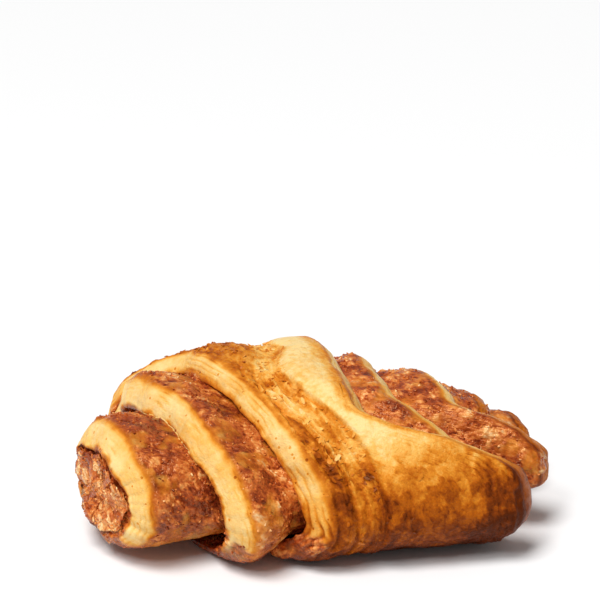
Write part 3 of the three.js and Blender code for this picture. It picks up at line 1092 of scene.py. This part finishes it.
crumbs = {
    "tree": "crumbScatter", "mark": "cinnamon", "shade": "tone", "shadeShift": (-0.2, 0.35), "seed": 3,
    "shape": grain, "material": scrapMaterial("cinnamon crumb", cinnamonSugar, "Tone"),
    "sizes": {  # metres, and crumbs in each square metre
        "Density": 300000.0, "Roughening": 0.0006, "Tilt": (3.14, 3.14, 6.28),
        "Smallest": (0.0002, 0.0002, 0.00015), "Largest": (0.0006, 0.0005, 0.0004),
    },
}
flakes = {
    "tree": "flakeScatter", "mark": "flaky", "shade": "bake", "shadeShift": (-0.1, 0.14), "seed": 8,
    "shape": flake, "material": scrapMaterial("crust flake", bakedCrust, "Bake"),
    "sizes": {
        "Density": 200000.0, "Roughening": 0.0009, "Tilt": (0.4, 0.4, 6.28),
        "Smallest": (0.0004, 0.0003, 0.00012), "Largest": (0.0014, 0.0006, 0.0002),
    },
}
crumbTree, flakeTree = scatterTree(crumbs), scatterTree(flakes)
scraps = [
    strewn("cinnamon_crumbs_left", leftFan, crumbTree, crumbs["sizes"]),
    strewn("cinnamon_crumbs_right", rightFan, crumbTree, crumbs["sizes"]),
    strewn("crust_flakes", wrap, flakeTree, flakes["sizes"]),
]

for piece in doughPieces + scraps:
    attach(piece, "root")
for piece in doughPieces:
    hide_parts("cinnamon_pastry")

cameraPlan = {
    "azimuth": -22,  # degrees round from straight in front; minus is to the left
    "elevation": 20,
    "lens": 150,
    "sensor": 36,
    "width": 166.66667,  # of what is seen at the pastry
    "across": 4.72222,  # from the junction to the middle of what is seen
    "up": 58.33333,
    "nearest": 0.01,  # metres
}


def placeCamera(plan):
    azimuth, elevation = math.radians(plan["azimuth"]), math.radians(plan["elevation"])
    right = Vector((math.cos(azimuth), math.sin(azimuth), 0))
    level = math.cos(elevation)
    back = Vector((math.sin(azimuth) * level, -math.cos(azimuth) * level, math.sin(elevation)))
    target = Vector(place) + right * plan["across"] + back.cross(right) * plan["up"]
    distance = plan["width"] / (plan["sensor"] / plan["lens"])
    data = bpy.data.cameras.new("camera")
    data.lens = plan["lens"]
    data.clip_start = plan["nearest"]
    camera = linked("camera", data)
    camera.location = (target + back * distance) * mm
    camera.rotation_mode = "QUATERNION"
    camera.rotation_quaternion = (-back).to_track_quat("-Z", "Y")
    bpy.context.scene.camera = camera


studio = {
    "floor": {"reach": 4, "colour": (0.9, 0.9, 0.9, 1), "roughness": 0.9},  # metres to its edge
    "sun": {"strength": 2.6, "angle": 28, "direction": (0.31, 0.17, -0.93)},
    "window": {"size": 0.32, "watts": 4.2, "location": (-0.7, -0.6, 1.0), "aim": (0, 0, 0.02)},
    "surroundings": 0.26,
}


def stageFloor(plan):
    far = plan["reach"]
    corners = [(-far, -far, 0), (far, -far, 0), (far, far, 0), (-far, far, 0)]
    mesh = bpy.data.meshes.new("floor")
    mesh.from_pydata(corners, [], [(0, 1, 2, 3)])
    material = bpy.data.materials.new("pale floor")
    material.use_nodes = True
    shader = material.node_tree.nodes["Principled BSDF"]
    shader.inputs["Base Color"].default_value = plan["colour"]
    shader.inputs["Roughness"].default_value = plan["roughness"]
    mesh.materials.append(material)
    return linked("floor", mesh)


def light(name, kind, direction):
    data = bpy.data.lights.new(name, kind)
    made = linked(name, data)
    made.rotation_mode = "QUATERNION"
    made.rotation_quaternion = Vector(direction).to_track_quat("-Z", "Y")
    return made, data


placeCamera(cameraPlan)
floor = stageFloor(studio["floor"])

_, sun = light("key", "SUN", studio["sun"]["direction"])
sun.energy = studio["sun"]["strength"]
sun.angle = math.radians(studio["sun"]["angle"])
windowPlan = studio["window"]
window, glow = light("window", "AREA", Vector(windowPlan["aim"]) - Vector(windowPlan["location"]))
window.location = windowPlan["location"]
glow.shape = "DISK"
glow.size = windowPlan["size"]
glow.energy = windowPlan["watts"]
world = bpy.data.worlds.new("studio")
world.use_nodes = True
background = world.node_tree.nodes["Background"]
background.inputs["Color"].default_value = (1, 1, 1, 1)
background.inputs["Strength"].default_value = studio["surroundings"]
bpy.context.scene.world = world
bpy.context.scene.view_settings.view_transform = "Standard"
print("pastry: camera, floor and lights placed")
